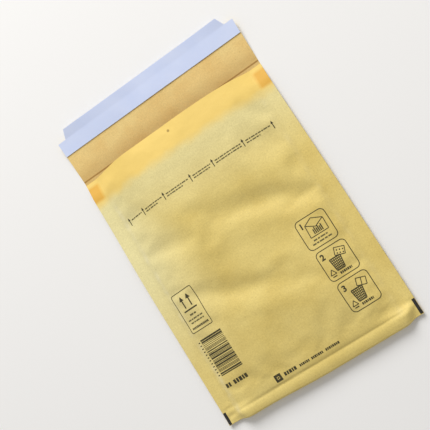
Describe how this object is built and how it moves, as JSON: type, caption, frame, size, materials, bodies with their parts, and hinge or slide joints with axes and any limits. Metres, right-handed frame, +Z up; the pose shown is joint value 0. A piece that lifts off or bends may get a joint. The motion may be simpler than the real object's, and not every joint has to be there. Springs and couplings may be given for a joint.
{
  "type": "padded envelope",
  "caption": "Open padded mailing envelope of folded kraft paper with a bubble film lining, welded side seams, an open flap and a peel-off liner over its self-seal strip.",
  "frame": {"origin": "on the floor, under the middle of the outline with the flap open", "axes": "+X across the envelope, +Y from the bottom fold to the flap, +Z up through the front"},
  "size_m": [0.17, 0.2692, 0.018],
  "materials": {
    "kraft_paper": "golden kraft paper, matt with a slight sheen",
    "bubble_film": "clear polyethylene bubble film",
    "self_seal_adhesive": "pale hot-melt adhesive",
    "release_paper": "white siliconed paper, smooth"
  },
  "bodies": {
    "root": {"kraft_envelope": "kraft_paper", "bubble_liner": "bubble_film", "adhesive_strip": "self_seal_adhesive", "release_liner": "release_paper"}
  },
  "joints": []
}
